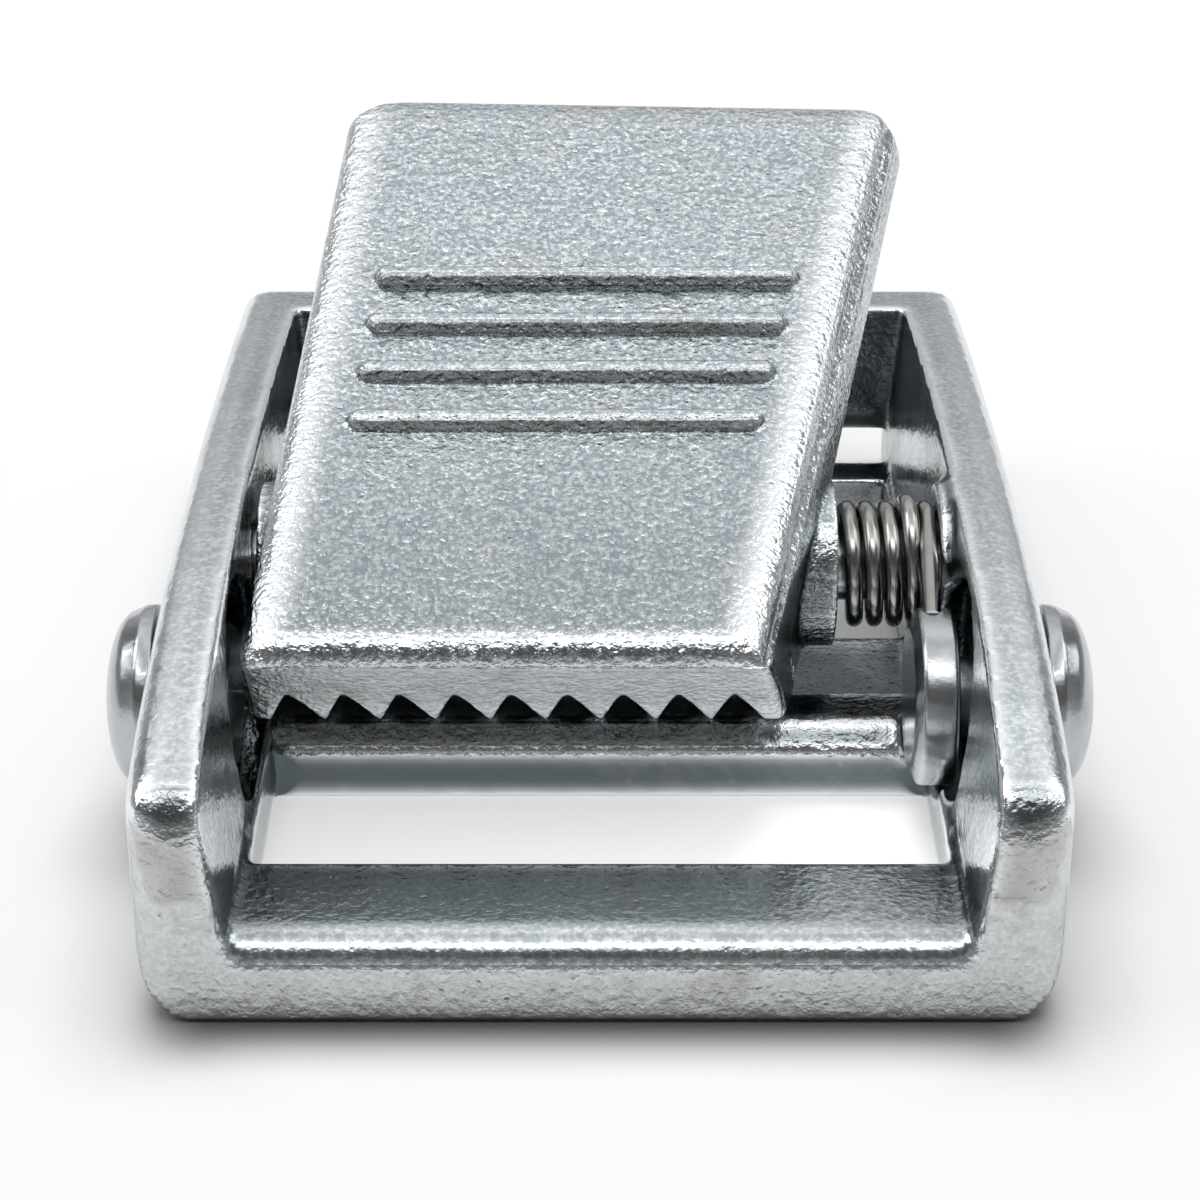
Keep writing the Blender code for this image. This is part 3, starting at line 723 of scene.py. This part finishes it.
def ribTree():  # each point becomes a bar to its right, of its own length, with round ends
    tree, start, end = newGeometryTree("gripRibs", [
        ("Top", "NodeSocketFloat"), ("Foot", "NodeSocketFloat"), ("Height", "NodeSocketFloat"),
        ("Round", "NodeSocketFloat"), ("Stations", "NodeSocketInt"), ("Material", "NodeSocketMaterial")])
    line = tree.nodes.new("GeometryNodeCurvePrimitiveLine")
    line.inputs["End"].default_value = (1.0, 0.0, 0.0)
    place = tree.nodes.new("GeometryNodeInstanceOnPoints")
    length = tree.nodes.new("GeometryNodeInputNamedAttribute")
    length.inputs["Name"].default_value = "ribLength"
    stretch = tree.nodes.new("ShaderNodeCombineXYZ")
    stretch.inputs["Y"].default_value = stretch.inputs["Z"].default_value = 1.0
    tree.links.new(length.outputs["Attribute"], stretch.inputs["X"])
    tree.links.new(start.outputs["Geometry"], place.inputs["Points"])
    tree.links.new(line.outputs["Curve"], place.inputs["Instance"])
    tree.links.new(stretch.outputs["Vector"], place.inputs["Scale"])
    bars = tree.nodes.new("GeometryNodeRealizeInstances")
    tree.links.new(place.outputs["Instances"], bars.inputs["Geometry"])
    sample = tree.nodes.new("GeometryNodeResampleCurve")
    tree.links.new(bars.outputs["Geometry"], sample.inputs["Curve"])
    tree.links.new(start.outputs["Stations"], sample.inputs["Count"])
    # Size along the bar: a quarter circle at each end
    station = tree.nodes.new("GeometryNodeSplineParameter")
    whole = tree.nodes.new("GeometryNodeSplineLength")
    near = mathNode(tree, "MINIMUM", station.outputs["Length"],
                    mathNode(tree, "SUBTRACT", whole.outputs["Length"], station.outputs["Length"]))
    half = times(tree, plus(tree, start.outputs["Top"], start.outputs["Foot"]), 0.25)
    inward = mathNode(tree, "SUBTRACT", 1.0, mathNode(tree, "DIVIDE", near, half, True))
    square = mathNode(tree, "POWER", inward, 2.0)
    swell = mathNode(tree, "SQRT", mathNode(tree, "SUBTRACT", 1.0002, square))     # never quite 0
    size = tree.nodes.new("GeometryNodeSetCurveRadius")
    tree.links.new(sample.outputs["Curve"], size.inputs["Curve"])
    tree.links.new(swell, size.inputs["Radius"])
    section = tree.nodes.new("GeometryNodeCurvePrimitiveQuadrilateral")
    section.mode = "TRAPEZOID"
    section.inputs["Offset"].default_value = 0.0
    tree.links.new(start.outputs["Foot"], section.inputs["Top Width"])       # the section hangs upside down
    tree.links.new(start.outputs["Top"], section.inputs["Bottom Width"])
    tree.links.new(start.outputs["Height"], section.inputs["Height"])
    ring = tree.nodes.new("GeometryNodeFilletCurve")
    ring.mode = "POLY"
    ring.inputs["Count"].default_value = 4
    tree.links.new(section.outputs["Curve"], ring.inputs["Curve"])
    tree.links.new(start.outputs["Round"], ring.inputs["Radius"])
    sweep = tree.nodes.new("GeometryNodeCurveToMesh")
    sweep.inputs["Fill Caps"].default_value = True
    tree.links.new(size.outputs["Curve"], sweep.inputs["Curve"])
    tree.links.new(ring.outputs["Curve"], sweep.inputs["Profile Curve"])
    if "Scale" in sweep.inputs:
        radius = tree.nodes.new("GeometryNodeInputRadius")
        tree.links.new(radius.outputs["Radius"], sweep.inputs["Scale"])
    finishTree(tree, sweep.outputs["Mesh"], start.outputs["Material"], end)
    return tree


def makeRibs():
    starts, lengths = [], []
    for number in range(ribs["count"]):
        u = ribs["firstU"] + number * ribs["pitch"]
        left = plateSide(u, -1) + ribs["marginLeft"]
        starts.append((left, u, ribs["level"]))
        lengths.append(plateSide(u, 1) - ribs["marginRight"] - left)
    mesh = bpy.data.meshes.new("gripRibs")
    mesh.from_pydata(starts, [], [])
    mesh.attributes.new("ribLength", "FLOAT", "POINT").data.foreach_set("value", lengths)
    return runTree(linkObject("gripRibs", mesh), ribTree(), Top=ribs["top"], Foot=ribs["foot"],
                   Height=ribs["height"], Round=ribs["round"], Stations=160, Material=zincPlate)


def leverDull(mesh):  # the nose's face and the fronts of the ribs
    u, w = vertexArray(mesh)[:, 1:].T
    noseU, noseHigh = lever["noseFace"]
    onRib = (u > 0.0) & (w > lever["plateTop"] - 0.1 * mm)
    onNose = (u < noseU) & (w < lever["plateTop"] + noseHigh)
    return ramp(-normalArray(mesh)[:, 1], *lever["dullSpan"]) * (lever["ribDull"] * onRib + onNose)


def leverRubAndHighlight(mesh):  # rub and painted highlight: the plate is brightened along its two sides, the ribs hardly at all
    x, u, w = vertexArray(mesh).T
    edge = edgeLift(mesh, casting["leverEdgePasses"])
    edge[(u > 0.0) & (w > lever["plateTop"] + 0.05 * mm)] *= lever["ribRubAndHighlight"]
    inward = np.minimum(x - plateSide(u, -1), plateSide(u, 1) - x)
    rubAndHighlight = (1.0 - ramp(inward, *lever["rubAndHighlightSpan"])) ** lever["rubAndHighlightPower"]
    return np.maximum(edge, rubAndHighlight * (w > lever["plateTop"] + lever["noseFace"][1]))


def leverSolid():  # in the lever's own place, with finer ribs than the solid's
    obj = castCopy("leverSkin", "cam_lever")
    toPlate = np.array(leverPlace.inverted())
    local = vertexArray(obj.data) @ toPlate[:3, :3].T + toPlate[:3, 3]
    local[local[:, 2] > lever["plateTop"] + 0.01 * mm, 2] = lever["plateTop"]      # its ribs are pressed flat
    ribPiece = makeRibs()
    shape = bmesh.new()
    setVertices(obj.data, local)
    shape.from_mesh(obj.data)
    shape.from_mesh(ribPiece.data)
    shape.to_mesh(obj.data)
    shape.free()
    bpy.data.objects.remove(ribPiece)
    return obj


def shapePlate(mesh):  # teeth, leaning nose, rounded edges and crown
    local = vertexArray(mesh)
    x, u, w = local.T
    low = (w < lever["notchTop"]) & (u < lever["teethU"])
    w[low] = lever["notchTop"] - (lever["notchTop"] - w[low]) * lever["toothStretch"]
    u -= lever["noseReachOut"] * (ramp(w, *lever["leanHeight"]) * ramp(-u, *lever["leanLength"]))
    nose = lever["noseU"] - lever["noseReachOut"]
    inward, depth = roundEdge(u - nose, lever["plateTop"] - w, lever["noseRound"])
    u[:] = nose + inward
    inward, depth = roundEdge(lever["tipU"] - u, depth, lever["tipRound"])
    u[:] = lever["tipU"] - inward
    for side in (-1, 1):
        edge = plateSide(u, side)
        inward, depth = roundEdge(side * (edge - x), depth, lever["sideRound"])
        x[:] = edge - side * inward
    w[:] = lever["plateTop"] - depth
    left, right = [
        np.clip(1.0 - side * (plateSide(u, side) - x) / lever["sideReach"], 0.0, lever["sideLimit"])
        for side in (-1, 1)]
    forward = np.clip(1.0 - (u - nose) / lever["noseReach"], 0.0, lever["noseLimit"])
    fall = lever["sideFall"] * (left ** 2 + right ** 2) + lever["noseFall"] * forward ** 2
    w -= fall * ramp(w - lever["plateTop"], -lever["fallDepth"], lever["fallDepth"])
    setVertices(mesh, local)


def buildLever():
    obj = softenCast(leverSolid(), casting["leverVoxel"], casting["leverSoften"])
    shapePlate(obj.data)
    lighten(obj, casting["faceTarget"])
    setShare(obj.data, "edgeRubAndHighlight", leverRubAndHighlight(obj.data))
    setShare(obj.data, "endSkin", leverDull(obj.data))
    obj.data.transform(leverPlace)
    markShelter(obj.data)
    dressPiece(obj, zincPlate, "lever", "cast_zinc", "cam_lever")


buildLever()


# Turned pieces: rivets and pin

turning = {
    "steps": 96,
    "pivotY": -1.5 * mm,
    "pivotZ": 7.5 * mm,
    "rivetY": -8.7 * mm,
    "rivetZ": 5.5 * mm,
    "crownX": 17.85,             # a head's blunt crown, in millimetres
    "crownHeight": 1.55,
    "crownRadius": 3.5,
    "crownPower": 0.7,
}


def turnPiece(name, profile, y, z, node):  # profile is (x, radius) in millimetres, from the axis to the axis
    if profile[0][0] < profile[-1][0]:
        profile = profile[::-1]
    mesh = bpy.data.meshes.new(name)
    mesh.from_pydata([(radius * mm, 0.0, x * mm) for x, radius in profile],
                     [(i, i + 1) for i in range(len(profile) - 1)], [])
    obj = linkObject(name, mesh)
    screw = obj.modifiers.new("turn", "SCREW")
    screw.axis = "Z"
    screw.steps = screw.render_steps = turning["steps"]
    screw.use_merge_vertices = True
    screw.merge_threshold = 0.001 * mm
    bakeModifiers(obj)
    obj.data.transform(Matrix.Translation((0.0, y, z)) @ Matrix.Rotation(math.pi / 2, 4, "Y"))
    obj.data.shade_smooth()
    obj.data.set_sharp_from_angle(angle=math.radians(40))
    dressPiece(obj, rivetSteel, "frame", "plated_steel", node)


def arc(centreX, centreR, radius, first, last, steps):  # angles in degrees, 0 towards +X and 90 outwards
    turns = [math.radians(first + (last - first) * i / steps) for i in range(steps + 1)]
    return [(centreX + radius * math.cos(turn), centreR + radius * math.sin(turn)) for turn in turns]


def headProfile():  # domed head: crown, rounded shoulder, short rim, undercut
    crown = [(turning["crownX"] + turning["crownHeight"] * math.cos(math.radians(a)) ** turning["crownPower"],
              turning["crownRadius"] * math.sin(math.radians(a))) for a in range(0, 80, 4)]
    shoulder = arc(17.8, 3.3, 0.35, 48, 90, 5)
    rim = [(17.45, 3.65)] + arc(17.45, 3.5, 0.15, 90, 180, 4) + [(17.3, 3.0), (17.3, 1.6)]
    return crown + shoulder + rim


def buildRivets():
    seat = [(13.9, 1.6), (13.9, 3.1)] + arc(13.68, 3.28, 0.22, 0, 90, 5) + arc(12.7, 3.22, 0.28, 90, 150, 5)
    seat += [(12.35, 3.1), (12.22, 2.9), (12.2, 2.6), (12.2, 0.0)]
    foot = [(14.7, 1.6), (14.7, 3.0), (14.4, 2.7), (14.4, 0.0)]
    left = [(-x, radius) for x, radius in reversed(headProfile() + foot)]
    for name, profile, node in (("rivetRight", headProfile() + seat, "rivet_right"),
                                ("rivetLeft", left, "rivet_left")):
        turnPiece(name, profile, turning["rivetY"], turning["rivetZ"], node)


def buildPin():
    end = [(16.8, 0.0)] + arc(16.5, 1.2, 0.3, 0, 90, 6)
    profile = end + [(-x, radius) for x, radius in reversed(end)]
    turnPiece("pivotPin", profile, turning["pivotY"], turning["pivotZ"], "pivot_pin")


buildRivets()
buildPin()


# Torsion spring, wound along a path

spring = {
    "wire": 0.36 * mm,
    "coil": 2.26 * mm,
    "pitch": 0.815 * mm,
    "start": 10.15 * mm,
    "coilEnd": 13.2 * mm,
    "turns": 4,
    "lift": 0.4 * mm,            # the end of one turn rides up over its neighbour
    "liftTurn": 3.0,
    "liftReach": 0.1,
    # The lever's leg lies under the plate and comes down beside the hub to the back of the coil. Its points
    # are the lever's x, u and w in millimetres
    "leg": [(6.8, 4.8, 1.8), (8.2, 4.9, 0.9), (8.9, 4.8, -0.3), (9.5, 4.4, -1.4), (10.0, 3.6, -2.1),
            (10.15, 2.8, -1.9)],
    "seat": Vector((13.05 * mm, -8.0 * mm, 8.72 * mm)),      # where the frame's leg ends
    "legShares": (0.25, 0.5, 0.75, 1.0),
    "pointsPerTurn": 48,
    "wireSides": 16,
}


def springPath():
    pivot = lever["pivot"]
    points = [leverPlace @ Vector((x * mm, u * mm, w * mm)) for x, u, w in spring["leg"]]
    quarter = spring["pointsPerTurn"] // 4
    for i in range(-quarter, spring["turns"] * spring["pointsPerTurn"] + 1):
        turn = i / spring["pointsPerTurn"]
        angle = math.pi / 2 + 2 * math.pi * turn
        lift = spring["lift"] * math.exp(-((turn - spring["liftTurn"]) / spring["liftReach"]) ** 2)
        radius = spring["coil"] + lift
        points.append(Vector((spring["start"] + spring["pitch"] * max(turn, 0.0),
                              pivot.y + radius * math.cos(angle), pivot.z + radius * math.sin(angle))))
    last = points[-1]
    return points + [last.lerp(spring["seat"], share) for share in spring["legShares"]]


def wireTree():  # sweeps a round wire along the path
    tree, start, end = newGeometryTree("woundWire", [
        ("Radius", "NodeSocketFloat"), ("Sides", "NodeSocketInt"), ("Material", "NodeSocketMaterial")])
    path = tree.nodes.new("GeometryNodeMeshToCurve")
    ring = tree.nodes.new("GeometryNodeCurvePrimitiveCircle")
    sweep = tree.nodes.new("GeometryNodeCurveToMesh")
    sweep.inputs["Fill Caps"].default_value = True
    tree.links.new(start.outputs["Geometry"], path.inputs["Mesh"])
    tree.links.new(start.outputs["Radius"], ring.inputs["Radius"])
    tree.links.new(start.outputs["Sides"], ring.inputs["Resolution"])
    tree.links.new(path.outputs["Curve"], sweep.inputs["Curve"])
    tree.links.new(ring.outputs["Curve"], sweep.inputs["Profile Curve"])
    finishTree(tree, sweep.outputs["Mesh"], start.outputs["Material"], end)
    return tree


def buildSpring():
    points = springPath()
    mesh = bpy.data.meshes.new("torsionSpring")
    mesh.from_pydata([tuple(point) for point in points], [(i, i + 1) for i in range(len(points) - 1)], [])
    obj = runTree(linkObject("torsionSpring", mesh), wireTree(), Radius=spring["wire"],
                  Sides=spring["wireSides"], Material=springSteel)
    shape = bmesh.new()
    shape.from_mesh(obj.data)
    bmesh.ops.remove_doubles(shape, verts=shape.verts, dist=0.001 * mm)     # welds the caps on
    bmesh.ops.recalc_face_normals(shape, faces=shape.faces)
    shape.to_mesh(obj.data)
    shape.free()
    obj.data.shade_smooth()
    obj.data.set_sharp_from_angle(angle=math.radians(50))
    return obj


# The spring is one fixed mesh in no body; on the buckle, the leg under the plate turns with the lever, the
# other one stays, and the coil winds up between them
springPiece = dressPiece(buildSpring(), springSteel, None, "spring_steel", "torsion_spring")
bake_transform(springPiece)


# Floor, light and camera

studio = {
    "floorColour": 0.52,
    "floorMottle": 0.01,
    "floorInMetal": 0.52,        # the paper as the metal sees it
    # Painted light on the paper seen through the slot, which glows there, and a painted shadow at the front's
    # foot. Each has a strength and along x and y its middle, where it ends on both sides and where it is full
    "slotGlow": {"strength": 0.56, "X": (0.0, 0.0165, 0.0120), "Y": (-0.0095, 0.0060, 0.0025)},
    "contactShade": {"strength": 0.78, "X": (0.0, 0.0180, 0.0140), "Y": (-0.0222, 0.0036, 0.0)},
    # Brightness by height of direction, as shares of the brightest: two lit panels with a gap above the plate
    "brightest": 1.5,
    "frontSky": [(0.0, 0.24), (0.26, 0.20), (0.44, 0.07), (0.74, 0.09), (0.84, 0.95), (0.90, 1.0),
                 (0.97, 0.85), (1.0, 0.60)],
    "backSky": [(0.0, 0.26), (0.30, 0.38), (0.50, 0.46), (0.62, 0.58), (0.72, 0.58), (0.84, 0.80),
                (0.90, 0.66), (0.956, 0.46), (1.0, 0.58)],
    "backSpan": (-0.05, 0.25),   # where the back's panels set in along the direction's y
    "backSides": (0.70, 0.42),   # and where they end to the left and right
    # Lamps: place, width, depth, power, and whether the metal shows them
    "lamps": {
        "leftBox": ((-0.40, 0.05, 0.38), 0.30, 0.30, 0.72, True),
        "rightBox": ((0.40, 0.05, 0.38), 0.30, 0.30, 0.42, True),
        "topBox": ((0.0, -0.22, 0.50), 0.40, 0.14, 0.35, True),
        "floorBox": ((0.0, 0.20, 0.58), 0.45, 0.28, 4.0, False),
    },
    "cameraPlace": (0.0, -0.110, 0.0684),
    "cameraTilt": 60.0,
    "lens": 90.33,
}


def floorPatch(tree, axes, look):  # a soft rectangle on the floor
    shares = []
    for axis in ("X", "Y"):
        middle, outer, full = look[axis]
        shares.append(slope(tree, mathNode(tree, "ABSOLUTE", plus(tree, axes[axis], -middle)), outer, full))
    return times(tree, times(tree, *shares), look["strength"])


def buildFloor():
    mesh = bpy.data.meshes.new("floor")
    half = 3.0
    mesh.from_pydata([(-half, -half, 0), (half, -half, 0), (half, half, 0), (-half, half, 0)], [],
                     [(0, 1, 2, 3)])
    floor = linkObject("floor", mesh)
    material, tree, shader, where = newMaterial("paperFloor")
    axes = splitAxes(tree, where)
    grey = studio["floorColour"]
    paper = mixColour(tree, noise(tree, where, 40.0, 2.0), (grey,) * 3, (grey + studio["floorMottle"],) * 3)
    seen = addNode(tree, "ShaderNodeLightPath").outputs["Is Camera Ray"]
    paper = mixColour(tree, seen, (studio["floorInMetal"],) * 3, paper)
    # Painted shadow: the paper's colour goes towards black at the front's foot
    paper = mixColour(tree, floorPatch(tree, axes, studio["contactShade"]), paper, (0.0, 0.0, 0.0))
    tree.links.new(paper, shader.inputs["Base Color"])
    # Painted light: the paper glows in the slot, by its emission
    shader.inputs["Emission Color"].default_value = (1.0, 1.0, 1.0, 1.0)
    tree.links.new(floorPatch(tree, axes, studio["slotGlow"]), shader.inputs["Emission Strength"])
    shader.inputs["Roughness"].default_value = 0.9
    shader.inputs["Specular IOR Level"].default_value = 0.1
    floor.data.materials.append(material)


def skyRamp(tree, height, stops):
    band = tree.nodes.new("ShaderNodeValToRGB")
    elements = band.color_ramp.elements
    while len(elements) < len(stops):
        elements.new(0.5)
    for element, (place, light) in zip(elements, stops):
        element.position = place
        element.color = (light, light, light, 1.0)
    tree.links.new(height, band.inputs["Fac"])
    return band.outputs["Color"]


def buildWorld():
    world = bpy.data.worlds.new("studioWorld")
    world.use_nodes = True
    tree = world.node_tree
    where = addNode(tree, "ShaderNodeTexCoord").outputs["Generated"]
    axes = splitAxes(tree, where)
    middle = slope(tree, mathNode(tree, "ABSOLUTE", axes["X"]), *studio["backSides"])
    light = tree.nodes.new("ShaderNodeMix")
    tree.links.new(times(tree, slope(tree, axes["Y"], *studio["backSpan"]), middle), light.inputs["Factor"])
    tree.links.new(skyRamp(tree, axes["Z"], studio["frontSky"]), light.inputs["A"])
    tree.links.new(skyRamp(tree, axes["Z"], studio["backSky"]), light.inputs["B"])
    background = tree.nodes["Background"]
    background.inputs["Color"].default_value = (1.0, 1.0, 1.0, 1.0)
    tree.links.new(times(tree, light.outputs["Result"], studio["brightest"]), background.inputs["Strength"])
    bpy.context.scene.world = world


def softBox(name, place, width, depth, power, onMetal):  # an area lamp aimed at the buckle
    light = bpy.data.lights.new(name, "AREA")
    light.shape = "RECTANGLE"
    light.size = width
    light.size_y = depth
    light.energy = power
    box = bpy.data.objects.new(name, light)
    box.location = place
    box.rotation_euler = (Vector() - Vector(place)).to_track_quat("-Z", "Y").to_euler()
    box.visible_glossy = onMetal
    box.visible_camera = False
    bpy.context.scene.collection.objects.link(box)


def buildCamera():
    camera = bpy.data.objects.new("camera", bpy.data.cameras.new("camera"))
    camera.location = studio["cameraPlace"]
    camera.rotation_euler = (math.radians(studio["cameraTilt"]), 0.0, 0.0)
    camera.data.sensor_width = 36.0
    camera.data.lens = studio["lens"]
    camera.data.clip_start = 0.001
    camera.data.clip_end = 20.0
    bpy.context.scene.collection.objects.link(camera)
    bpy.context.scene.camera = camera


buildFloor()
buildWorld()
for lampName, lamp in studio["lamps"].items():
    softBox(lampName, *lamp)
buildCamera()
bpy.context.scene.view_settings.view_transform = "Standard"
print("stage ready")
